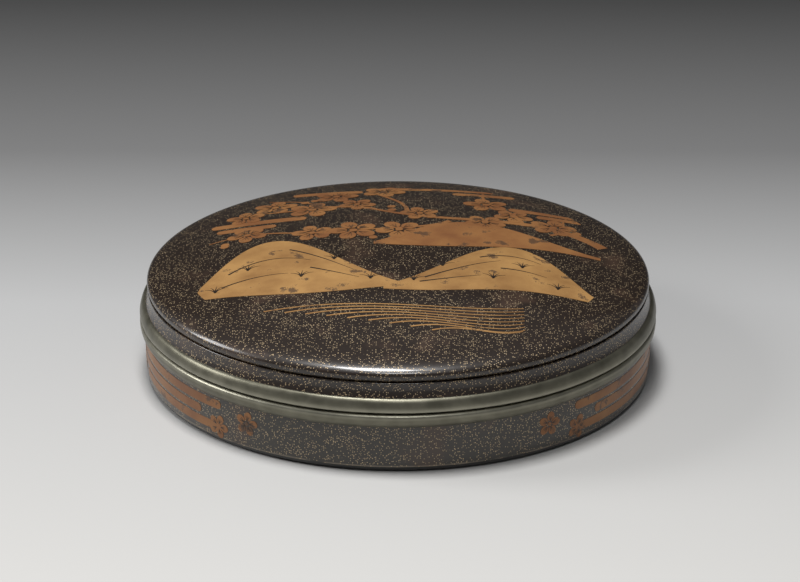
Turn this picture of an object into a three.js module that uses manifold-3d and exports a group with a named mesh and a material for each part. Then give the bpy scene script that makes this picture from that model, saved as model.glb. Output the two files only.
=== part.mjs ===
// A round lacquered mirror box with its cast bronze mirror, in millimetres, +Z up.
//
// The box is built as bent-wood and turned-wood boxes of this kind are. Each shell is a thin hoop
// that stands in a rebate of its board and is pinned to it by wooden pegs driven in from the side.
// A rolled pewter moulding covers the mouth of each shell. A thin riser hoop inside the box stands
// above the mouth, and the lid slides down over it until the two mouldings meet. The mirror lies
// face down on a silk pad, and is lifted by the pierced knob on its back.
//
// The origin is the centre of the underside, and the lid lifts along +Z.

import * as THREE from "three";
import { mergeVertices } from "three/addons/utils/BufferGeometryUtils.js";
import Module from "manifold-3d";

const wasm = await Module();
wasm.setup();

// Clearances
const fitGap = 0.3; // round a piece in its seat
const lidSlide = 0.4; // radial play between the riser and the lid that slides over it
const seamGap = 0.4; // left open between the two mouldings when the lid is shut
const mirrorPlay = 2.3; // radial room for the silk that the mirror is wrapped and lifted in
const padGap = 0.5; // radial play of the pad

// Mirror
const mirrorRadius = 55.5;
const mirrorRimHeight = 8;
const mirrorRimWidth = 2.2;
const mirrorRimLean = 0.4; // the rim's outer wall leans in by this much
const mirrorRimSlope = 0.9; // run of the rim's inner slope
const mirrorPlate = 2.4;
const mirrorFaceBevel = 0.3;
const ridgeRadius = 33.5; // raised circle that divides the back into two zones
const ridgeWidth = 1.6;
const ridgeHeight = 0.9;
const knobRadius = 6.5;
const knobHeight = 5.6;
const knobNeck = 1.6; // straight foot of the knob, below its round top
const cordHoleRadius = 1.5;
const seatRadius = 11.5; // flower-shaped seat under the knob
const seatPetals = 12;
const seatHeight = 0.7;
const blossomCount = 6;
const blossomRadius = 5.4; // from the middle of a blossom to the tip of a petal
const blossomHeight = 0.7;
const budCount = 6;
const budRadius = 2.6;

// Pad
const padThickness = 4.5;
const padShoulder = 9; // width of the rounded edge, from the seam in to the flat middle
const padPipingRadius = 0.55;

// Hoops and boards
const riserThickness = 1.2;
const riserStand = 3.2; // how far the riser stands above the mouth of the box
const riserEdge = 0.35; // rounding of the riser's upper edge
const hoopThickness = 3.1;
const wallFlare = 0.2; // the box wall is this much wider at its mouth than at its foot
const wallBelly = 0.3; // and bulges this much between them
const mouthHeight = 15.4; // top of the box moulding
const boardThickness = 4.4;
const boardEdge = 1.5; // height of the bevelled edge under the box hoop
const boardBevel = 1.5; // run of that bevel

// Pewter mouldings
const rimStand = 1.4; // how far the mouldings swell out from the wall
const rimStep = 0.3; // height of their thin edge above the lacquer
const rimRebate = 0.6; // depth cut into the hoops for their skirts
const rimWeb = 0.7; // thickness over the hoop's end
const boxSkirt = 3.5; // height of the box moulding
const lidSkirt = 3.3; // height of the lid moulding

// Lid
const lidSideHeight = 6.9; // from the lid's mouth up to the ledge round the dome
const lidFlare = 0.65; // the lid's side is hollow-curved and this much wider at its foot
const ledgeRounding = 0.35;
const ledgeWidth = 0.9; // step between the lid's side and the foot of the dome
const domeHeight = 10.3; // from the ledge to the crown
const capRadius = 50; // where the even curve of the crown turns over into the shoulder
const capRise = 4.7; // height of the crown above that circle
const shoulderSwell = 1.05; // how far the shoulder swells out over the foot of the dome
const shoulderFoot = 1.5; // height of the widest part of the shoulder above the ledge
const ceilingDrop = 4; // thickness of the board at the crown
const spigotDepth = 3.1; // how far the board reaches down inside the hoop
const spigotWall = 3.1;
const ceilingFillet = 2.4;

// Pegs
const pegCount = 6;
const pegRadius = 0.7;
const pegTaper = 0.15; // the inner end is thinner by this much
const pegBite = 5; // length of peg in the board
const lacquerSkin = 0.5; // ground and lacquer over the peg's outer end

// Facets
const ringFacets = 60;
const curveSteps = 4;
const pegFacets = 8;

// Radii, from the mirror outwards
const riserInner = mirrorRadius + mirrorPlay;
const riserOuter = riserInner + riserThickness;
const boxHoopInner = riserOuter + fitGap;
const plugRadius = boxHoopInner - fitGap; // the board's raised middle, inside the hoop
const wallFoot = boxHoopInner + hoopThickness;
const wallMouth = wallFoot + wallFlare;
const lidHoopInner = riserOuter + lidSlide;
const spigotRadius = lidHoopInner - fitGap;
const lidHoopTop = lidHoopInner + hoopThickness - lidFlare; // outer radius at the ledge
const lidHoopFoot = lidHoopTop + lidFlare; // and just above the moulding
const rimWidest = wallMouth + rimStand;

// Heights, from the floor upwards
const boxHoopTop = mouthHeight - rimWeb;
const riserTop = mouthHeight + riserStand;
const lidMouth = mouthHeight + seamGap;
const lidHoopBottom = lidMouth + rimWeb;
const ledgeHeight = lidMouth + lidSideHeight;
const crownHeight = ledgeHeight + domeHeight;
const padBottom = boardThickness + fitGap;
const mirrorFace = padBottom + padThickness + fitGap;
const mirrorBack = mirrorFace + mirrorPlate; // the plate's upper side

// A closed outline in (radius, height), turned round Z. It runs anticlockwise, so its faces point out.
function turned(outline, facets = ringFacets, steps = curveSteps) {
  const geometry = new THREE.LatheGeometry(outline.getPoints(steps), facets);
  return geometry.rotateX(Math.PI / 2);
}

function solidOf(geometry) {
  const bare = geometry.index ? geometry.toNonIndexed() : geometry.clone();
  bare.deleteAttribute("normal");
  bare.deleteAttribute("uv");
  const merged = mergeVertices(bare, 1e-3);
  const corners = merged.index.array;
  const triVerts = [];
  for (let i = 0; i < corners.length; i += 3) {
    const [a, b, c] = corners.slice(i, i + 3);
    if (a !== b && b !== c && c !== a) triVerts.push(a, b, c);
  }
  return new wasm.Manifold(
    new wasm.Mesh({
      numProp: 3,
      vertProperties: new Float32Array(merged.attributes.position.array),
      triVerts: new Uint32Array(triVerts),
    }),
  );
}

function geometryOf(solid) {
  const mesh = solid.getMesh();
  const geometry = new THREE.BufferGeometry();
  geometry.setAttribute("position", new THREE.BufferAttribute(mesh.vertProperties, 3));
  geometry.setIndex(new THREE.BufferAttribute(mesh.triVerts, 1));
  geometry.computeVertexNormals();
  return geometry;
}

const joined = (solids) => solids.reduce((sum, next) => sum.add(next));

// Pegs lie along a radius, so each is a cylinder from one radius to another at a given height.
function radialCylinder(fromRadius, toRadius, height, angle, innerRadius, outerRadius, facets) {
  return new THREE.CylinderGeometry(outerRadius, innerRadius, toRadius - fromRadius, facets)
    .rotateZ(-Math.PI / 2)
    .translate((fromRadius + toRadius) / 2, 0, height)
    .rotateZ(angle);
}

const pegAngle = (index) => ((index + 0.5) * 2 * Math.PI) / pegCount;

function peg(seat, index) {
  return radialCylinder(
    seat.innerEnd,
    seat.outerEnd - fitGap,
    seat.height,
    pegAngle(index),
    pegRadius - pegTaper,
    pegRadius,
    pegFacets,
  );
}

function withPegHoles(geometry, seat) {
  const holes = Array.from({ length: pegCount }, (_, index) =>
    solidOf(
      radialCylinder(
        seat.innerEnd - fitGap,
        seat.outerEnd,
        seat.height,
        pegAngle(index),
        pegRadius + fitGap,
        pegRadius + fitGap,
        pegFacets,
      ),
    ),
  );
  return geometryOf(solidOf(geometry).subtract(joined(holes)));
}

const basePegSeat = {
  innerEnd: plugRadius - pegBite,
  outerEnd: wallFoot - lacquerSkin,
  height: (boardEdge + boardThickness) / 2,
};

const lidPegSeat = {
  innerEnd: spigotRadius - pegBite,
  outerEnd: lidHoopTop - lacquerSkin,
  height: ledgeHeight - spigotDepth / 2,
};

// The bottom board: a bevelled edge that the box stands on, and a raised middle inside the hoop.
function baseBoard() {
  const outline = new THREE.Path()
    .moveTo(0, 0)
    .lineTo(wallFoot - boardBevel, 0)
    .quadraticCurveTo(wallFoot - boardBevel / 4, boardEdge / 4, wallFoot, boardEdge)
    .lineTo(plugRadius, boardEdge)
    .lineTo(plugRadius, boardThickness)
    .lineTo(0, boardThickness);
  return withPegHoles(turned(outline, ringFacets, 3), basePegSeat);
}

// The box wall: a bent hoop, rebated at its mouth for the moulding's skirt.
function boxHoop() {
  const skirtBottom = mouthHeight - boxSkirt;
  const outline = new THREE.Path()
    .moveTo(boxHoopInner, boardEdge)
    .lineTo(wallFoot, boardEdge)
    .quadraticCurveTo(
      (wallFoot + wallMouth) / 2 + wallBelly,
      (boardEdge + skirtBottom) / 2,
      wallMouth,
      skirtBottom,
    )
    .lineTo(wallMouth - rimRebate, skirtBottom)
    .lineTo(wallMouth - rimRebate, boxHoopTop)
    .lineTo(boxHoopInner, boxHoopTop)
    .closePath();
  return withPegHoles(turned(outline, ringFacets, 4), basePegSeat);
}

// The thin hoop that lines the box and stands above its mouth, to hold the lid in place.
function riserHoop() {
  const outline = new THREE.Path()
    .moveTo(riserInner, boardThickness)
    .lineTo(riserOuter, boardThickness)
    .lineTo(riserOuter, riserTop - riserEdge)
    .quadraticCurveTo(riserOuter, riserTop, riserOuter - riserEdge, riserTop)
    .lineTo(riserInner + riserEdge, riserTop)
    .quadraticCurveTo(riserInner, riserTop, riserInner, riserTop - riserEdge)
    .closePath();
  return turned(outline, ringFacets, 2);
}

// The box moulding: a pewter strip that laps over the hoop's end, thin at its lower edge, widest
// near the seam and rounded over into the mouth.
function boxRim() {
  const skirtInner = wallMouth - rimRebate + fitGap;
  const skirtBottom = mouthHeight - boxSkirt;
  const widestHeight = mouthHeight - 1.1;
  const outline = new THREE.Path()
    .moveTo(skirtInner, skirtBottom)
    .lineTo(wallMouth + rimStep, skirtBottom)
    .quadraticCurveTo(rimWidest, skirtBottom + boxSkirt / 4, rimWidest, widestHeight)
    .quadraticCurveTo(rimWidest, mouthHeight, rimWidest - rimStand, mouthHeight)
    .lineTo(boxHoopInner, mouthHeight)
    .lineTo(boxHoopInner, boxHoopTop)
    .lineTo(skirtInner, boxHoopTop)
    .closePath();
  return turned(outline, ringFacets, 3);
}

// The lid moulding: the same strip the other way up, with a longer slope above its widest part.
function lidRim() {
  const skirtInner = wallMouth - rimRebate + fitGap;
  const skirtTop = lidMouth + lidSkirt;
  const widestHeight = lidMouth + 0.8;
  const outline = new THREE.Path()
    .moveTo(lidHoopInner, lidMouth)
    .lineTo(rimWidest - rimStand / 2, lidMouth)
    .quadraticCurveTo(rimWidest, lidMouth, rimWidest, widestHeight)
    .quadraticCurveTo(rimWidest - rimStand / 4, skirtTop - 0.3, lidHoopFoot + rimStep, skirtTop)
    .lineTo(skirtInner, skirtTop)
    .lineTo(skirtInner, lidHoopBottom)
    .lineTo(lidHoopInner, lidHoopBottom)
    .closePath();
  return turned(outline, ringFacets, 3);
}

// The lid's side: a bent hoop with a hollow-curved outside. Its upper end is the ledge that shows
// round the foot of the dome.
function lidHoop() {
  const skirtTop = lidMouth + lidSkirt;
  const outline = new THREE.Path()
    .moveTo(lidHoopInner, lidHoopBottom)
    .lineTo(wallMouth - rimRebate, lidHoopBottom)
    .lineTo(wallMouth - rimRebate, skirtTop)
    .lineTo(lidHoopFoot, skirtTop)
    .quadraticCurveTo(lidHoopTop, (skirtTop + ledgeHeight) / 2, lidHoopTop, ledgeHeight - ledgeRounding)
    .quadraticCurveTo(lidHoopTop, ledgeHeight, lidHoopTop - ledgeRounding, ledgeHeight)
    .lineTo(lidHoopInner, ledgeHeight)
    .closePath();
  return withPegHoles(turned(outline, ringFacets, 3), lidPegSeat);
}

// The lid's board: turned from one piece, domed above, hollowed below, with a spigot that drops
// inside the hoop. The crown is part of a sphere, and the shoulder turns over from it and swells
// out above the ledge.
function lidTopBoard() {
  const domeFoot = lidHoopTop - ledgeWidth;
  const shoulderRadius = domeFoot + shoulderSwell;
  const capEdge = crownHeight - capRise;
  const capSlope = (2 * capRise * capRadius) / (capRadius ** 2 - capRise ** 2);
  const handle = (shoulderRadius - capRadius) / 2;
  const widest = ledgeHeight + shoulderFoot;
  const ceilingEdge = capEdge - ceilingDrop;
  const spigotInner = spigotRadius - spigotWall;
  const spigotBottom = ledgeHeight - spigotDepth;
  const outline = new THREE.Path()
    .moveTo(0, crownHeight - ceilingDrop)
    .quadraticCurveTo(capRadius / 2, crownHeight - ceilingDrop, capRadius, ceilingEdge)
    .lineTo(spigotInner - ceilingFillet, ceilingEdge - capSlope * ceilingFillet)
    .quadraticCurveTo(spigotInner, ceilingEdge - 1, spigotInner, ceilingEdge - ceilingFillet)
    .lineTo(spigotInner, spigotBottom)
    .lineTo(spigotRadius, spigotBottom)
    .lineTo(spigotRadius, ledgeHeight)
    .lineTo(domeFoot, ledgeHeight)
    .quadraticCurveTo(shoulderRadius, ledgeHeight + shoulderFoot / 4, shoulderRadius, widest)
    .bezierCurveTo(
      shoulderRadius,
      widest + 2.4,
      capRadius + handle,
      capEdge - handle * capSlope,
      capRadius,
      capEdge,
    )
    .quadraticCurveTo(capRadius / 2, crownHeight, 0, crownHeight);
  return withPegHoles(turned(outline), lidPegSeat);
}

// The silk pad: two rounds of silk sewn edge to edge over a stuffing, with piping along the seam.
// The weight of the mirror keeps its middle flat.
function mirrorPad() {
  const seamRadius = riserInner - padGap;
  const seamHeight = padBottom + padThickness / 2;
  const flat = seamRadius - padShoulder;
  const drawnIn = seamRadius - 2 * padPipingRadius;
  const top = padBottom + padThickness;
  const outline = new THREE.Path()
    .moveTo(0, padBottom)
    .lineTo(flat, padBottom)
    .bezierCurveTo(
      flat + padShoulder / 2,
      padBottom,
      drawnIn,
      padBottom + padThickness / 8,
      drawnIn,
      seamHeight - padPipingRadius / 2,
    )
    .absarc(seamRadius - padPipingRadius, seamHeight, padPipingRadius, -Math.PI / 2.2, Math.PI / 2.2)
    .lineTo(drawnIn, seamHeight + padPipingRadius / 2)
    .bezierCurveTo(drawnIn, top - padThickness / 8, flat + padShoulder / 2, top, flat, top)
    .lineTo(0, top);
  return turned(outline, 48, 3);
}

// A flower in low relief: round petals about a middle, as one outline.
function flowerShape(petals, radius) {
  const shape = new THREE.Shape();
  const petalRadius = (radius * Math.sin(Math.PI / petals)) / (1 + Math.sin(Math.PI / petals));
  const petalCentre = radius - petalRadius;
  const reach = Math.PI / 2 + Math.PI / petals; // each petal's arc ends where the next begins
  for (let i = 0; i < petals; i++) {
    const angle = (i * 2 * Math.PI) / petals;
    shape.absarc(
      petalCentre * Math.cos(angle),
      petalCentre * Math.sin(angle),
      petalRadius,
      angle - reach,
      angle + reach,
    );
  }
  return shape;
}

// Relief is sunk a little into the plate, so that it joins it as one casting.
function relief(shape, height, curveSegments) {
  return new THREE.ExtrudeGeometry(shape, {
    depth: height + fitGap,
    bevelEnabled: false,
    curveSegments,
  }).translate(0, 0, mirrorBack - fitGap);
}

// The mirror: one bronze casting. The polished face is the flat underside. The back has a raised
// rim, a ridge, blossoms and buds in low relief, and a pierced knob on a flower-shaped seat.
function mirror() {
  const rimTop = mirrorFace + mirrorRimHeight;
  const rimInner = mirrorRadius - mirrorRimLean - mirrorRimWidth;
  const ridgeTop = mirrorBack + ridgeHeight;
  const outline = new THREE.Path()
    .moveTo(0, mirrorFace)
    .lineTo(mirrorRadius - mirrorFaceBevel, mirrorFace)
    .lineTo(mirrorRadius, mirrorFace + mirrorFaceBevel)
    .lineTo(mirrorRadius - mirrorRimLean, rimTop)
    .lineTo(rimInner, rimTop)
    .lineTo(rimInner - mirrorRimSlope, mirrorBack)
    .lineTo(ridgeRadius + ridgeWidth / 2, mirrorBack)
    .lineTo(ridgeRadius + ridgeWidth / 4, ridgeTop)
    .lineTo(ridgeRadius - ridgeWidth / 4, ridgeTop)
    .lineTo(ridgeRadius - ridgeWidth / 2, mirrorBack)
    .lineTo(0, mirrorBack);
  const knobOutline = new THREE.Path()
    .moveTo(0, mirrorBack - fitGap)
    .lineTo(knobRadius, mirrorBack - fitGap)
    .lineTo(knobRadius, mirrorBack + knobNeck)
    .bezierCurveTo(
      knobRadius,
      mirrorBack + knobHeight * 0.8,
      knobRadius * 0.6,
      mirrorBack + knobHeight,
      0,
      mirrorBack + knobHeight,
    );
  const cordHole = new THREE.CylinderGeometry(cordHoleRadius, cordHoleRadius, 4 * knobRadius, 10)
    .rotateZ(Math.PI / 2)
    .translate(0, 0, mirrorBack + seatHeight + cordHoleRadius + 0.4);
  const zoneMiddle = (ridgeRadius + ridgeWidth / 2 + rimInner - mirrorRimSlope) / 2;
  const reliefs = [relief(flowerShape(seatPetals, seatRadius), seatHeight, 2)];
  for (let i = 0; i < blossomCount; i++) {
    const angle = (i * 2 * Math.PI) / blossomCount;
    reliefs.push(
      relief(flowerShape(5, blossomRadius), blossomHeight, 3)
        .rotateZ(angle + Math.PI / 2)
        .translate(zoneMiddle * Math.cos(angle), zoneMiddle * Math.sin(angle), 0),
    );
  }
  const budCircle = (ridgeRadius - ridgeWidth / 2 + seatRadius) / 2;
  for (let i = 0; i < budCount; i++) {
    const angle = ((i + 0.5) * 2 * Math.PI) / budCount;
    reliefs.push(
      relief(flowerShape(3, budRadius), blossomHeight, 3)
        .rotateZ(angle)
        .translate(budCircle * Math.cos(angle), budCircle * Math.sin(angle), 0),
    );
  }
  const knob = solidOf(turned(knobOutline, 24, 5)).subtract(solidOf(cordHole));
  return geometryOf(joined([solidOf(turned(outline)), knob, ...reliefs.map(solidOf)]));
}

// Finishes
const lacquer = { color: 0x2a2320, roughness: 0.35, metalness: 0.1 };
const blackLacquer = { color: 0x16130f, roughness: 0.3, metalness: 0 };
const pewter = { color: 0x6e6c60, roughness: 0.45, metalness: 0.9 };
const bareWood = { color: 0xb08a58, roughness: 0.8, metalness: 0 };
const silk = { color: 0x8a2f2a, roughness: 0.6, metalness: 0 };
const bronze = { color: 0x8d7f5e, roughness: 0.35, metalness: 1 };

function piece(name, geometry, finish) {
  const mesh = new THREE.Mesh(geometry, new THREE.MeshStandardMaterial(finish));
  mesh.name = name;
  return mesh;
}

const box = new THREE.Group();
box.add(
  piece("base_board", baseBoard(), blackLacquer),
  piece("box_hoop", boxHoop(), lacquer),
  piece("riser_hoop", riserHoop(), blackLacquer),
  piece("box_rim", boxRim(), pewter),
  piece("mirror_pad", mirrorPad(), silk),
);

const lid = new THREE.Group();
lid.add(
  piece("lid_top_board", lidTopBoard(), lacquer),
  piece("lid_hoop", lidHoop(), lacquer),
  piece("lid_rim", lidRim(), pewter),
);

for (let i = 0; i < pegCount; i++) {
  box.add(piece(`base_peg_${i + 1}`, peg(basePegSeat, i), bareWood));
  lid.add(piece(`lid_peg_${i + 1}`, peg(lidPegSeat, i), bareWood));
}

const mirrorBox = new THREE.Group();
mirrorBox.add(box, lid, piece("mirror", mirror(), bronze));

export default mirrorBox;
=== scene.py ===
"""The looks of the round lacquer mirror box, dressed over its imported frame. Lengths are in millimetres
until a mesh is made, and MM turns them into metres."""

import math
import random

import bpy
import numpy as np
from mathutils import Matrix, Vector
from mathutils.geometry import delaunay_2d_cdt


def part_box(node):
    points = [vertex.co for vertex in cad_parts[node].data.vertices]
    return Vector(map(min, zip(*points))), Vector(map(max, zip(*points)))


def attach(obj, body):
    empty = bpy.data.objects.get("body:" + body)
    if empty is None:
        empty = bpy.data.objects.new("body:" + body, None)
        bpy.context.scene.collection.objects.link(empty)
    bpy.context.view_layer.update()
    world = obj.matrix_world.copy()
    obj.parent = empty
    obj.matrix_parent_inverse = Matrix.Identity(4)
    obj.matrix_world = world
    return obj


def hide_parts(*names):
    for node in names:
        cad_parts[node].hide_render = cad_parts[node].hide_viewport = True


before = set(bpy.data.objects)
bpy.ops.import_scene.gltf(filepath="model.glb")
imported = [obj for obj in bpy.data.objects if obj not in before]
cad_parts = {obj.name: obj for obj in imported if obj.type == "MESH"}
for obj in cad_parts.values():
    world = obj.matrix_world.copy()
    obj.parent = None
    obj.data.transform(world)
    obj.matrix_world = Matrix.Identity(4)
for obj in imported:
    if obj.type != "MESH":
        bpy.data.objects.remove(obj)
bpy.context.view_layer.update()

# Lid top
# One board of wood turned to a dome with a swelling shoulder, hollowed below, with a spigot that
# drops inside the lid's side. It is covered with dark lacquer and sprinkled with gold flakes.
MM = 0.001
RING_SEGMENTS = 384


def size_of(node):
    """(outer radius, lowest, highest) of a CAD node, in millimetres."""
    low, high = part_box(node)
    return high[0] / MM, low[2] / MM, high[2] / MM


def bezier(controls, t):
    while len(controls) > 1:
        controls = [a.lerp(b, t) for a, b in zip(controls, controls[1:])]
    return controls[0]


def outline(start, *moves, steps=12):
    """Points in (radius, height): a pair is a straight move, a list of pairs a Bezier curve."""
    points = [Vector(start)]
    for move in moves:
        ends = move if isinstance(move, list) else [move]
        controls = [points[-1]] + [Vector(end) for end in ends]
        count = steps if len(ends) > 1 else 1
        points += [bezier(controls, i / count) for i in range(1, count + 1)]
    return points


def mesh_object(name, verts, faces, sharp_degrees=35):
    mesh = bpy.data.meshes.new(name)
    mesh.from_pydata([tuple(c * MM for c in v) for v in verts], [], faces)
    mesh.validate()
    mesh.shade_smooth()
    mesh.set_sharp_from_angle(angle=math.radians(sharp_degrees))
    made = bpy.data.objects.new(name, mesh)
    bpy.context.scene.collection.objects.link(made)
    return made


def turned(name, points, segments=RING_SEGMENTS, swell=None):
    """A closed outline turned round Z. swell(radius, height, angle) gives a point's own radius."""
    verts, rings = [], []
    for radius, height in points:
        if radius < 1e-6:
            rings.append([len(verts)] * segments)
            verts.append((0, 0, height))
            continue
        rings.append(range(len(verts), len(verts) + segments))
        for i in range(segments):
            angle = 2 * math.pi * i / segments
            r = swell(radius, height, angle) if swell else radius
            verts.append((r * math.cos(angle), r * math.sin(angle), height))
    on_axis = points[0][0] < 1e-6
    pairs = list(zip(rings, rings[1:])) + ([] if on_axis else [(rings[-1], rings[0])])
    faces = []
    for low, high in pairs:
        for i in range(segments):
            j = (i + 1) % segments
            corners = [low[i], low[j], high[j], high[i]]
            face = [c for k, c in enumerate(corners) if c != corners[k - 1]]
            if len(face) > 2:
                faces.append(face)
    return mesh_object(name, verts, faces)


class Value:
    """A number socket: Python's operators add Math nodes to it."""

    def __init__(self, paint, socket):
        self.paint = paint
        self.socket = socket

    def math(self, operation, *others):
        return self.paint.node("Math", {"operation": operation}, self, *others)

    def __add__(self, other):
        return self.math("ADD", other)

    def __sub__(self, other):
        return self.math("SUBTRACT", other)

    def __rsub__(self, other):
        return self.paint.node("Math", {"operation": "SUBTRACT"}, other, self)

    def __mul__(self, other):
        return self.math("MULTIPLY", other)

    __radd__ = __add__
    __rmul__ = __mul__

    def above(self, edge, soft):
        """0 below edge, rising to 1 over the width soft."""
        return self.paint.node("MapRange", {}, self, edge, edge + soft)


class Paint:
    """A material under construction."""

    def __init__(self, name, **constants):
        self.material = bpy.data.materials.new(name)
        self.material.use_nodes = True
        self.tree = self.material.node_tree
        self.shader = self.tree.nodes["Principled BSDF"]
        for key, value in constants.items():
            self.shader.inputs[key.replace("_", " ").title()].default_value = value

    def put(self, socket, value):
        if isinstance(value, Value):
            self.tree.links.new(value.socket, socket)
        else:
            socket.default_value = value

    def node(self, kind, settings, *inputs, output=0, **named):
        made = self.tree.nodes.new("ShaderNode" + kind)
        for key, value in settings.items():
            setattr(made, key, value)
        for socket, value in zip(made.inputs, inputs):
            self.put(socket, value)
        for key, value in named.items():
            self.put(made.inputs[key], value)
        return Value(self, made.outputs[output])

    def place(self):
        return self.node("TexCoord", {}, output="Object")

    def noise(self, size, detail=2.0, output="Fac"):
        """Noise from 0 to 1 whose features are about size millimetres wide."""
        where = self.place()
        return self.node("TexNoise", {}, Vector=where, Scale=1 / (size * MM), Detail=detail, output=output)

    def mix(self, share, first, second):
        made = self.tree.nodes.new("ShaderNodeMix")
        made.data_type = "RGBA"
        self.put(made.inputs["Factor"], share)
        for name, colour in (("A", first), ("B", second)):
            socket = [s for s in made.inputs if s.name == name and s.type == "RGBA"][0]
            self.put(socket, colour if isinstance(colour, Value) else (*colour, 1))
        return Value(self, [s for s in made.outputs if s.type == "RGBA"][0])

    def wear(self, name, value):
        self.put(self.shader.inputs[name], value)

    def bump(self, height, depth):
        """Height from 0 to 1 stands for depth millimetres."""
        self.wear("Normal", self.node("Bump", {}, Distance=depth * MM, Height=height, output="Normal"))


def lacquer(name, flakes, ground=(0.014, 0.008, 0.005), worn=(0.055, 0.028, 0.015), foot=0.0):
    """Dark lacquer with gold flakes; flakes is the share of flake cells that are filled."""
    paint = Paint(name, coat_weight=0.5, coat_roughness=0.1)
    flake_cell = 0.40
    where = paint.place()
    cells = {"Vector": where, "Scale": 1 / (flake_cell * MM), "Randomness": 1.0}
    distance = paint.node("TexVoronoi", {}, output="Distance", **cells)
    chance = paint.node("SeparateColor", {}, paint.node("TexVoronoi", {}, output="Color", **cells))
    drift = paint.noise(7) + paint.noise(1.6) * 0.5
    filled = (drift * 0.9 + (flakes - 0.75) - chance).above(0, 0.02)
    flake = filled * (0.36 - distance).above(0, 0.08)
    patches = paint.noise(16, 5).above(0.56, 0.16)
    dull = paint.mix(patches * 0.8, ground, worn)
    # Along the wall's foot a pale band, broken by noise, is painted into the colour: partly rubbed wear,
    # partly a painted edge highlight.
    if foot:
        height = paint.node("SeparateXYZ", {}, paint.place(), output="Z")
        edge = (foot + 0.45 - height * (1 / MM)).above(0, 0.35) * paint.noise(6, 4).above(0.35, 0.2)
        dull = paint.mix(edge * 0.8, dull, (0.22, 0.18, 0.13))
    tint = paint.mix(paint.noise(3), (0.30, 0.21, 0.12), (0.62, 0.48, 0.29))
    paint.wear("Base Color", paint.mix(flake, dull, tint))
    paint.wear("Metallic", flake * 0.55)
    paint.wear("Roughness", 0.30 + patches * 0.12 + flake * 0.15 + paint.noise(0.8) * 0.06)
    paint.bump(flake * 0.6 + paint.noise(5) * 0.9, 0.02)
    return paint.material


def dress(piece, body, slot, material, *nodes):
    piece.data.materials.clear()
    piece.data.materials.append(material)
    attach(piece, body)
    if nodes:
        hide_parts(*nodes)
    return piece


SPIGOT_PLAY = 0.1
SPIGOT_WALL = 3.1
SHOULDER_SWELL = 1.05
SHOULDER_FOOT = 1.5
SHOULDER_FULLNESS = 2.4
CAP_RADIUS = 50
CAP_RISE = 4.7
CAP_SLOPE = 0.19
BOARD_THICKNESS = 4
CEILING_FILLET = 2.4
shoulder_radius, spigot_bottom, crown = size_of("lid_top_board")
spigot_radius = size_of("riser_hoop")[0] + SPIGOT_PLAY
ledge = size_of("lid_hoop")[2]
dome_foot = shoulder_radius - SHOULDER_SWELL
cap_edge = crown - CAP_RISE
handle = (shoulder_radius - CAP_RADIUS) / 2
widest = ledge + SHOULDER_FOOT
spigot_inner = spigot_radius - SPIGOT_WALL
ceiling = crown - BOARD_THICKNESS
ceiling_edge = cap_edge - BOARD_THICKNESS
dome_outline = outline(
    (dome_foot, ledge),
    [(shoulder_radius, ledge + SHOULDER_FOOT / 4), (shoulder_radius, widest)],
    [
        (shoulder_radius, widest + SHOULDER_FULLNESS),
        (CAP_RADIUS + handle, cap_edge - handle * CAP_SLOPE),
        (CAP_RADIUS, cap_edge),
    ],
    [(CAP_RADIUS / 2, crown), (0, crown)],
    steps=24,
)
under_outline = outline(
    (0, ceiling),
    [(CAP_RADIUS / 2, ceiling), (CAP_RADIUS, ceiling_edge)],
    (spigot_inner - CEILING_FILLET, ceiling_edge - 0.5),
    [(spigot_inner, ceiling_edge - 1), (spigot_inner, ceiling_edge - CEILING_FILLET)],
    (spigot_inner, spigot_bottom),
    (spigot_radius, spigot_bottom),
    (spigot_radius, ledge),
)
sprinkled = lacquer("sprinkled_lacquer", 0.50)
lid_dome = turned("lid_dome", under_outline + dome_outline)
dress(lid_dome, "lid", "sprinkled_lacquer", sprinkled, "lid_top_board")

# Lid side
# A bent hoop of thin board with a hollow outside, pinned to the top board by pegs. Its upper end
# is the narrow ledge that shows round the foot of the dome.
_, lid_mouth, lid_rim_top = size_of("lid_rim")
rim_radius = size_of("box_rim")[0]
LEDGE_WIDTH = 0.9
LID_FLARE = 0.65
LEDGE_ROUNDING = 0.35
PEWTER_WEB = 0.7
RIM_STAND = 1.4
RIM_REBATE = 0.6
LID_SLIDE = 0.4
hoop_inner = size_of("riser_hoop")[0] + LID_SLIDE
hoop_top = dome_foot + LEDGE_WIDTH
hoop_foot = hoop_top + LID_FLARE
wall_mouth = rim_radius - RIM_STAND
skirt_radius = wall_mouth - RIM_REBATE
lid_side = turned(
    "lid_side",
    outline(
        (hoop_inner, lid_mouth + PEWTER_WEB),
        (skirt_radius, lid_mouth + PEWTER_WEB),
        (skirt_radius, lid_rim_top),
        (hoop_foot, lid_rim_top),
        [(hoop_top, (lid_rim_top + ledge) / 2), (hoop_top, ledge - LEDGE_ROUNDING)],
        [(hoop_top, ledge), (hoop_top - LEDGE_ROUNDING, ledge)],
        (hoop_inner, ledge),
    ),
)
dress(lid_side, "lid", "sprinkled_lacquer", lacquer("side_lacquer", 0.62), "lid_hoop")

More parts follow.
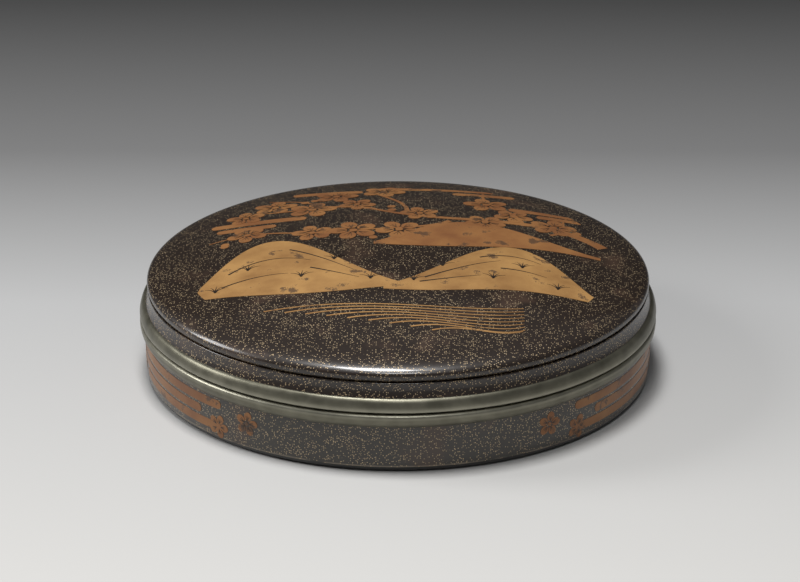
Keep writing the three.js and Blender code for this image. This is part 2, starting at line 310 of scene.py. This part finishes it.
# Pewter mouldings
# A strip of pewter rolled over the mouth of each shell. It has dulled to a grey green, is dented by
# use and is rubbed bright along its proudest line.
def pewter():
    paint = Paint("pewter", metallic=0.85)
    stain = paint.noise(4, 6)
    fine = paint.noise(0.7, 4)
    dark = (0.115, 0.11, 0.082)
    light = (0.20, 0.19, 0.145)
    place = paint.node("SeparateXYZ", {}, paint.place(), output="Z")
    seam = (mouth + lid_mouth) / 2 * MM
    from_seam = (place - seam).math("ABSOLUTE")
    rubbed = (1 - from_seam * (1 / (1.9 * MM))).above(0.1, 0.7) * (0.45 + stain * 0.5)
    dulled = paint.mix(stain.above(0.25, 0.5), dark, light)
    paint.wear("Base Color", paint.mix(rubbed, dulled, (0.40, 0.385, 0.31)))
    paint.wear("Roughness", 0.30 + stain * 0.12 + fine * 0.08)
    paint.bump(paint.noise(5, 3) * 0.8 + fine * 0.2, 0.06)
    return paint.material


DENT = 0.05
FIT_GAP = 0.3
RIM_STEP = 0.3


def dented(radius, height, angle):
    """Small waves in a soft metal strip, on its outside only."""
    if radius < wall_mouth - 0.1:
        return radius
    waves = math.sin(7 * angle + 1) + math.sin(17 * angle + 2)
    return radius + DENT * (waves * math.sin(3 * angle) - 1)


_, box_rim_bottom, mouth = size_of("box_rim")
BOX_HOOP_INNER = 59.3
pewter_paint = pewter()
box_moulding = turned(
    "box_moulding",
    outline(
        (skirt_radius + FIT_GAP, box_rim_bottom),
        (wall_mouth + RIM_STEP, box_rim_bottom),
        [(rim_radius, box_rim_bottom + 0.9), (rim_radius, mouth - 1.1)],
        [(rim_radius, mouth), (wall_mouth, mouth)],
        (BOX_HOOP_INNER, mouth),
        (BOX_HOOP_INNER, mouth - PEWTER_WEB),
        (skirt_radius + FIT_GAP, mouth - PEWTER_WEB),
    ),
    swell=dented,
)
lid_moulding = turned(
    "lid_moulding",
    outline(
        (hoop_inner, lid_mouth),
        (rim_radius - RIM_STAND / 2, lid_mouth),
        [(rim_radius, lid_mouth), (rim_radius, lid_mouth + 0.8)],
        [(rim_radius - RIM_STAND / 4, lid_rim_top - RIM_STEP), (hoop_foot + RIM_STEP, lid_rim_top)],
        (skirt_radius + FIT_GAP, lid_rim_top),
        (skirt_radius + FIT_GAP, lid_mouth + PEWTER_WEB),
        (hoop_inner, lid_mouth + PEWTER_WEB),
    ),
    swell=dented,
)
dress(box_moulding, "box", "pewter", pewter_paint, "box_rim")
dress(lid_moulding, "lid", "pewter", pewter_paint, "lid_rim")

# Box wall and bottom board
# The wall is a bent hoop like the lid's, standing on a turned board whose bevelled edge is left in
# black lacquer. A thin riser hoop stands inside it, above the mouth.
WALL_FLARE = 0.2
WALL_BELLY = 0.6
BOARD_BEVEL = 1.5
RISER_THICKNESS = 1.2
RISER_EDGE = 0.35
wall_foot = wall_mouth - WALL_FLARE
board_edge = size_of("box_hoop")[1]


def wall_radius(height):
    t = (height - board_edge) / (box_rim_bottom - board_edge)
    return wall_foot + (wall_mouth - wall_foot) * t + WALL_BELLY * t * (1 - t)


wall_heights = [board_edge + (box_rim_bottom - board_edge) * i / 16 for i in range(17)]
box_wall = turned(
    "box_wall",
    [Vector((BOX_HOOP_INNER, board_edge))]
    + [Vector((wall_radius(h), h)) for h in wall_heights]
    + outline(
        (skirt_radius, box_rim_bottom),
        (skirt_radius, mouth - PEWTER_WEB),
        (BOX_HOOP_INNER, mouth - PEWTER_WEB),
    ),
)
wall_lacquer = lacquer("wall_lacquer", 0.62, (0.02, 0.016, 0.011), foot=board_edge)
dress(box_wall, "box", "sprinkled_lacquer", wall_lacquer, "box_hoop")

black = Paint("black_lacquer", base_color=(0.008, 0.007, 0.006, 1), coat_weight=0.4)
black.wear("Roughness", 0.32 + black.noise(3, 5) * 0.2)
board_top = size_of("base_board")[2]
bottom_board = turned(
    "bottom_board",
    outline(
        (0, 0),
        (wall_foot - BOARD_BEVEL, 0),
        [(wall_foot - BOARD_BEVEL / 4, board_edge / 4), (wall_foot, board_edge)],
        (BOX_HOOP_INNER - FIT_GAP, board_edge),
        (BOX_HOOP_INNER - FIT_GAP, board_top),
        (0, board_top),
    ),
)
dress(bottom_board, "box", "black_lacquer", black.material, "base_board")

riser_radius, _, riser_top = size_of("riser_hoop")
riser_inner = riser_radius - RISER_THICKNESS
riser = turned(
    "riser",
    outline(
        (riser_inner, board_top),
        (riser_radius, board_top),
        (riser_radius, riser_top - RISER_EDGE),
        [(riser_radius, riser_top), (riser_radius - RISER_EDGE, riser_top)],
        (riser_inner + RISER_EDGE, riser_top),
        [(riser_inner, riser_top), (riser_inner, riser_top - RISER_EDGE)],
    ),
)
dress(riser, "box", "black_lacquer", black.material, "riser_hoop")

# Pegs
# Split bamboo, driven through the hoops into the boards and hidden under the lacquer.
peg_wood = Paint("peg_wood", roughness=0.7)
peg_wood.wear("Base Color", peg_wood.mix(peg_wood.noise(1.5, 4), (0.42, 0.27, 0.13), (0.60, 0.43, 0.24)))
for name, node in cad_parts.items():
    if "_peg_" in name:
        node.data.materials.clear()
        node.data.materials.append(peg_wood.material)

# Gold decoration
# Sprinkled gold, built up a little above the lacquer and left with thin dark lines between its
# parts. The design is a general one: hills, haze, a flowering branch and a stream.
GOLD_RISE = 0.09
ART_EDGE = 52.5
picture = random.Random(12)
dome_points = sorted(((p[0], p[1]) for p in dome_outline if p[1] > widest), key=lambda p: p[0])
dome_radii = [p[0] for p in dome_points]
dome_heights = [p[1] for p in dome_points]


def on_dome(x, y, rise):
    return x, y, float(np.interp(math.hypot(x, y), dome_radii, dome_heights)) + rise


def on_wall(along, height, rise):
    angle = along / wall_mouth - math.pi / 2
    radius = wall_radius(height) + rise
    return radius * math.cos(angle), radius * math.sin(angle), height


def inside(point, loop):
    x, y = point
    crossings = 0
    for (x1, y1), (x2, y2) in zip(loop, loop[1:] + loop[:1]):
        if (y1 > y) != (y2 > y) and x < x1 + (y - y1) * (x2 - x1) / (y2 - y1):
            crossings += 1
    return crossings % 2 == 1


def refined(loop, longest):
    """The same outline with points added, so that no edge is longer than longest."""
    points = []
    for a, b in zip(loop, loop[1:] + loop[:1]):
        a, b = Vector(a), Vector(b)
        count = max(1, math.ceil((b - a).length / longest))
        points += [tuple(a.lerp(b, i / count)) for i in range(count)]
    return points


def inlay(name, loops, surface, material, body, rise=GOLD_RISE, grid=1.6):
    """Thin closed shells over a curved surface, one for each flat outline in loops."""
    verts, faces = [], []
    for loop in loops:
        loop = refined([tuple(p) for p in loop], grid)
        xs, ys = [p[0] for p in loop], [p[1] for p in loop]
        inner = [
            (x, y)
            for x in np.arange(min(xs) + grid / 2, max(xs), grid)
            for y in np.arange(min(ys) + grid / 2, max(ys), grid)
            if inside((x, y), loop)
        ]
        flat, _, tris, *_ = delaunay_2d_cdt(
            [Vector(p) for p in loop + inner], [], [list(range(len(loop)))], 1, 1e-4
        )
        first, count = len(verts), len(flat)
        verts += [surface(p[0], p[1], rise) for p in flat]
        verts += [surface(p[0], p[1], -GOLD_RISE) for p in flat]
        edges = {(t[k - 1], t[k]) for t in tris for k in range(3)}
        for t in tris:
            faces.append([first + i for i in t])
            faces.append([first + count + i for i in reversed(t)])
        for a, b in edges:
            if (b, a) not in edges:
                faces.append([first + b, first + a, first + count + a, first + count + b])
    made = mesh_object(name, verts, faces, 50)
    return dress(made, body, "sprinkled_lacquer", material)


def gold(name, dark, light, worn):
    paint = Paint(name, coat_weight=0.25, coat_roughness=0.2)
    cloud = paint.noise(9, 4)
    grain = paint.noise(0.35, 2)
    colour = paint.mix(cloud.above(0.35, 0.3), dark, light)
    rubbed = (paint.noise(4.5, 8) + grain * 0.25).above(worn, 0.05)
    paint.wear("Base Color", paint.mix(rubbed * 0.85, colour, (0.05, 0.025, 0.012)))
    paint.wear("Metallic", 0.3 - rubbed * 0.25)
    paint.wear("Roughness", 0.42 + grain * 0.2)
    paint.bump(grain, 0.015)
    return paint.material


bright_gold = gold("bright_gold", (0.27, 0.135, 0.042), (0.41, 0.225, 0.075), 0.74)
red_gold = gold("red_gold", (0.20, 0.078, 0.025), (0.30, 0.135, 0.042), 0.72)
line_lacquer = Paint("line_lacquer", base_color=(0.018, 0.011, 0.007, 1), roughness=0.4).material


def within(points, edge=ART_EDGE):
    """The points, drawn in to the edge of the picture where they pass it."""
    return [(x * min(1, edge / max(math.hypot(x, y), 1)), y * min(1, edge / max(math.hypot(x, y), 1)))
            for x, y in points]


def stroke(points, width, taper=0.3, steps=24):
    """The outline of a brush stroke along a Bezier curve, thinner towards its end."""
    controls = [Vector(p) for p in points]
    left, right = [], []
    for i in range(steps + 1):
        t = i / steps
        here = bezier(controls, t)
        way = bezier(controls, min(1, t + 0.01)) - bezier(controls, max(0, t - 0.01))
        side = Vector((-way[1], way[0])).normalized() * width / 2 * (1 - (1 - taper) * t)
        left.append(tuple(here + side))
        right.append(tuple(here - side))
    return left + right[::-1]


def ring(centre, radius, count=18, squash=1.0, turn=0.0):
    points = []
    for i in range(count):
        angle = 2 * math.pi * i / count
        p = Vector((radius * math.cos(angle), radius * squash * math.sin(angle)))
        points.append((centre[0] + p[0] * math.cos(turn) - p[1] * math.sin(turn),
                       centre[1] + p[0] * math.sin(turn) + p[1] * math.cos(turn)))
    return points


def blossom(centre, radius, turn):
    """Five round petals about a small heart, with gaps between them, and the stamens' lines."""
    petals, lines = [ring(centre, radius * 0.17, 10)], []
    for i in range(5):
        angle = turn + i * 2 * math.pi / 5
        middle = (centre[0] + radius * 0.62 * math.cos(angle), centre[1] + radius * 0.62 * math.sin(angle))
        petals.append(ring(middle, radius * 0.385, 18, 0.86, angle))
        for spread in (-0.24, 0, 0.24):
            tip = (centre[0] + radius * 0.66 * math.cos(angle + spread),
                   centre[1] + radius * 0.66 * math.sin(angle + spread))
            root = (centre[0] + radius * 0.26 * math.cos(angle), centre[1] + radius * 0.26 * math.sin(angle))
            lines.append(stroke([root, tip], 0.16, 0.7, 3))
    return petals, lines


def haze(x, y, length, height=2.2):
    """A bar of haze with round ends."""
    half, r = length / 2, height / 2
    ends = []
    for side in (1, -1):
        ends += [(x + side * (half - r) + side * r * math.sin(a), y + side * r * math.cos(a))
                 for a in (math.pi * i / 10 for i in range(11))]
    return ends


def hill(x, base, half, height, lean=0.0, steps=40):
    """A rounded hill whose foot is a slow wave."""
    top, foot = [], []
    for i in range(steps + 1):
        u = 2 * i / steps - 1
        top.append((x + half * u, base + height * math.cos(math.pi * (u + lean * (1 - u * u)) / 2) ** 1.4))
        foot.append((x + half * u, base - 1.6 - 1.3 * math.sin(3.1 * u + x)))
    return within(foot + top[::-1])


HILLS = ((-24, -24, 28, 29, 0.25), (22.5, -24, 26, 24, -0.2))
hills = [hill(*sizes) for sizes in HILLS]
far_hills = [hill(22, 1, 28, 15, 0.15)]
inlay("lid_hills", hills, on_dome, bright_gold, "lid")
inlay("lid_far_hills", far_hills, on_dome, red_gold, "lid")

# Fold lines follow each hill's crest, and tufts of grass stand on its slopes.
hill_lines = []
for x, base, half, height, lean in HILLS:
    for share, start, end in ((0.80, -0.62, 0.1), (0.64, -0.2, 0.62), (0.46, -0.7, -0.1), (0.3, 0.05, 0.7)):
        crest = hill(x, base, half * 0.95, height * share, lean)[::-1][:41]
        first, last = int(20 - 20 * end), int(20 - 20 * start)
        hill_lines.append(stroke(crest[first:last:3], 0.5, 0.2))
    for u, up in ((-0.45, 0.42), (0.3, 0.5), (0.02, 0.2), (0.62, 0.1), (-0.72, 0.08)):
        root = (x + half * u, base + height * up)
        for lean_out in (-2.6, -1.2, 0.3, 1.6, 3.0):
            tip = (root[0] + lean_out, root[1] + 3.6 - abs(lean_out) * 0.5)
            middle = (root[0] + lean_out * 0.2, root[1] + 2)
            hill_lines.append(stroke([root, middle, tip], 0.42, 0.15, 6))
inlay("lid_hill_lines", hill_lines, on_dome, line_lacquer, "lid", GOLD_RISE + 0.03)

# The branch and its blossoms grow in from the right edge and reach over the hills.
branches = [
    ([(51, 8), (34, 28), (14, 10), (-6, 26)], 3.2),
    ([(-6, 26), (-18, 34), (-26, 24), (-38, 30)], 1.5),
    ([(31, 18), (30, 30), (20, 32), (22, 45)], 1.9),
    ([(13, 16.5), (6, 8), (-6, 12), (-14, 7)], 1.3),
    ([(-14, 9), (-24, 6), (-32, 16), (-47, 9)], 1.1),
    ([(2, 21), (4, 34), (-6, 38), (-8, 47)], 1.3),
    ([(38, 12), (44, 16), (40, 24), (43, 28)], 1.1),
    ([(-20, 29), (-22, 38), (-30, 38), (-33, 40)], 0.8),
]
twigs = [stroke(within(points), width) for points, width in branches]
blossoms, stamens, buds = [], [], []
for points, _ in branches:
    controls = [Vector(p) for p in points]
    for t in (0.22, 0.42, 0.62, 0.82, 1.0):
        at = bezier(controls, t)
        off = Vector((picture.uniform(-6.5, 6.5), picture.uniform(-6, 6)))
        centre = within([tuple(at + off)], ART_EDGE - 6)[0]
        if all(math.dist(centre, c) > 9.4 for c, _ in blossoms):
            radius = picture.uniform(4.8, 6.6)
            petals, lines = blossom(centre, radius, picture.uniform(0, 1.2))
            blossoms.append((centre, petals))
            stamens += lines
        else:
            bud = (centre[0] + 2.5, centre[1] - 3)
            if all(math.dist(bud, c) > 6 for c, _ in blossoms):
                buds.append(ring(bud, 1.1, 10))
inlay("lid_branches", twigs, on_dome, red_gold, "lid", 0.07)
inlay("lid_blossoms", [p for _, petals in blossoms for p in petals], on_dome, red_gold, "lid", 0.11)
inlay("lid_stamens", stamens, on_dome, line_lacquer, "lid", 0.135)
inlay("lid_buds", buds, on_dome, red_gold, "lid")

# Haze drifts behind the branch, and the stream runs in lines below the hills.
bars = [haze(-35, 21, 24, 3), haze(-38, 16.8, 15, 2.6), haze(10, 47, 30, 3), haze(22, 42.6, 16, 2.6),
        haze(-18, 44, 18, 3), haze(38, 30, 20, 3), haze(41, 25.8, 12, 2.6)]
inlay("lid_haze", [within(bar) for bar in bars], on_dome, red_gold, "lid", 0.05)
stream = []
for k in range(9):
    y = -34 - 1.4 * k
    reach = 62 - 5 * k
    points = [(30 - reach, y), (30 - reach * 0.6, y + 3.5), (30 - reach * 0.3, y - 4), (30, y + 1)]
    stream.append(stroke(within(points), 0.45, 0.5))
inlay("lid_stream", stream, on_dome, bright_gold, "lid", 0.05)

# The wall carries the same haze and blossoms near its two sides.
WALL_HAZE = ((68, 10.0, 44), (78, 7.1, 50), (66, 4.2, 40), (98, 4.2, 20), (104, 10.0, 22))
wall_gold, wall_lines = [], []
for side in (-1, 1):
    for shift, height, length in WALL_HAZE:
        wall_gold.append(haze(side * shift, height, length, 2.2))
    for shift, height in ((38, 7.6), (47, 4.4)):
        petals, lines = blossom((side * shift, height), 3.1, 0.4 * shift)
        wall_gold += petals
        wall_lines += lines
inlay("wall_gold", wall_gold, on_wall, red_gold, "box", 0.07)
inlay("wall_lines", wall_lines, on_wall, line_lacquer, "box", 0.09)

# Silk pad
# Two rounds of silk sewn edge to edge over a thin stuffing, gathered a little along the seam.
PAD_SHOULDER = 9
PUCKER_REACH = 16
PUCKER_HEIGHT = 0.16
pad_radius, pad_bottom, pad_top = size_of("mirror_pad")
pad_middle = (pad_bottom + pad_top) / 2


def gathered(radius, height, angle):
    edge = max(0.0, (radius - pad_radius + PAD_SHOULDER) / PAD_SHOULDER)
    return radius - 0.35 * edge * (0.5 + 0.5 * math.sin(72 * angle + 2 * math.sin(5 * angle)))


pad = turned(
    "silk_pad",
    outline(
        (0, pad_bottom),
        (pad_radius - PAD_SHOULDER, pad_bottom),
        [(pad_radius - 4, pad_bottom), (pad_radius - 1.2, pad_bottom + 0.6),
         (pad_radius - 1, pad_middle - 0.4)],
        [(pad_radius + 0.3, pad_middle - 0.5), (pad_radius + 0.3, pad_middle + 0.5),
         (pad_radius - 1, pad_middle + 0.4)],
        [(pad_radius - 1.2, pad_top - 0.6), (pad_radius - 4, pad_top), (pad_radius - PAD_SHOULDER, pad_top)],
        (0, pad_top),
    ),
    swell=gathered,
)
# The upper round of silk puckers towards the seam.
for vertex in pad.data.vertices:
    x, y, z = vertex.co / MM
    edge = max(0.0, (math.hypot(x, y) - pad_radius + PUCKER_REACH) / PUCKER_REACH)
    way = math.atan2(y, x)
    pucker = math.sin(40 * way + 1.5 * math.sin(7 * way)) + 0.6 * math.sin(23 * way + 2)
    vertex.co.z += PUCKER_HEIGHT * edge * pucker * (z > pad_middle) * MM
silk = Paint("silk", sheen_weight=0.4)
silk.wear("Base Color", silk.mix(silk.noise(6, 4), (0.23, 0.03, 0.025), (0.34, 0.06, 0.04)))
silk.wear("Roughness", 0.5 + silk.noise(0.3) * 0.2)
silk.bump(silk.noise(0.25), 0.05)
dress(pad, "box", "silk", silk.material, "mirror_pad")

# Mirror
# Cast bronze, its decorated back up and its polished face on the pad.
bronze = Paint("bronze", metallic=1.0)
patina = bronze.noise(11, 7)
bronze.wear("Base Color", bronze.mix(patina.above(0.4, 0.25), (0.19, 0.15, 0.085), (0.40, 0.33, 0.20)))
bronze.wear("Roughness", 0.28 + patina * 0.25)
bronze.bump(bronze.noise(0.9, 4), 0.04)
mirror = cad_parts["mirror"]
mirror.data.materials.clear()
mirror.data.materials.append(bronze.material)
mirror.data.shade_smooth()
mirror.data.set_sharp_from_angle(angle=math.radians(28))

# Floor, lights and camera
# A pale sheet that rises behind the box, its colour darkened with distance as painted shade, large soft
# lights above and in front, and a long lens at the photograph's angle.
floor_half, floor_back, floor_rise = 900, 700, 900
bend = outline((floor_back, 0), [(floor_back + 500, 0), (floor_back + 500, floor_rise)], steps=24)
profile = [(-900.0, 0.0)] + [(float(p[0]), float(p[1])) for p in bend]
floor_verts = [(x, y, z) for y, z in profile for x in (-floor_half, floor_half)]
floor_faces = [[2 * i, 2 * i + 1, 2 * i + 3, 2 * i + 2] for i in range(len(profile) - 1)]
floor = mesh_object("floor", floor_verts, floor_faces, 80)
painted_shade_paper = Paint("painted_shade_paper", roughness=0.75)
# The sheet's colour runs from pale in front to near black behind: painted shade for the light's falloff.
depth = painted_shade_paper.node("SeparateXYZ", {}, painted_shade_paper.place(), output="Y")
FLOOR_NEAR, FLOOR_FAR = -0.12, 0.30
painted_shade_ramp = painted_shade_paper.tree.nodes.new("ShaderNodeValToRGB")
for place, grey in ((0.38, 0.36), (0.65, 0.135)):
    painted_shade_ramp.color_ramp.elements.new(place).color = (grey, grey, grey, 1)
painted_shade_ramp.color_ramp.elements[0].color = (0.49, 0.483, 0.468, 1)
painted_shade_ramp.color_ramp.elements[-1].color = (0.027, 0.027, 0.027, 1)
painted_shade_paper.put(painted_shade_ramp.inputs["Fac"], painted_shade_paper.node("MapRange", {}, depth, FLOOR_NEAR, FLOOR_FAR))
painted_shade_paper.wear("Base Color", Value(painted_shade_paper, painted_shade_ramp.outputs["Color"]))
floor.data.materials.append(painted_shade_paper.material)


def softbox(name, place, width, height, power):
    light = bpy.data.lights.new(name, "AREA")
    light.shape = "RECTANGLE"
    light.size, light.size_y, light.energy = width, height, power
    lamp = bpy.data.objects.new(name, light)
    lamp.location = place
    lamp.rotation_euler = (Vector((0, 0, 0.02)) - Vector(place)).to_track_quat("-Z", "Y").to_euler()
    bpy.context.scene.collection.objects.link(lamp)


softbox("top_light", (-0.10, -0.04, 1.15), 0.36, 0.30, 12.5)
softbox("front_light", (0.0, -0.62, 1.0), 0.3, 0.16, 3.2)
softbox("left_light", (-1.0, 0.1, 0.6), 0.4, 0.5, 7.0)

world = bpy.data.worlds.new("studio")
world.use_nodes = True
world.node_tree.nodes["Background"].inputs["Color"].default_value = (0.8, 0.81, 0.83, 1)
world.node_tree.nodes["Background"].inputs["Strength"].default_value = 0.16
bpy.context.scene.world = world

CAMERA_DISTANCE = 0.9
ELEVATION = math.radians(23.9)
LENS_PIXELS, IMAGE_WIDTH = 3600, 800
SHIFT_RIGHT_PIXELS, SHIFT_UP_PIXELS = 2.0, 74
camera = bpy.data.cameras.new("camera")
camera.sensor_width = 36
camera.lens = 36 * LENS_PIXELS / IMAGE_WIDTH
camera.shift_x = SHIFT_RIGHT_PIXELS / IMAGE_WIDTH
camera.shift_y = SHIFT_UP_PIXELS / IMAGE_WIDTH
eye = bpy.data.objects.new("camera", camera)
eye.location = (0, -CAMERA_DISTANCE * math.cos(ELEVATION), CAMERA_DISTANCE * math.sin(ELEVATION))
eye.rotation_euler = (math.pi / 2 - ELEVATION, 0, 0)
bpy.context.scene.collection.objects.link(eye)
bpy.context.scene.camera = eye
bpy.context.scene.view_settings.view_transform = "Standard"
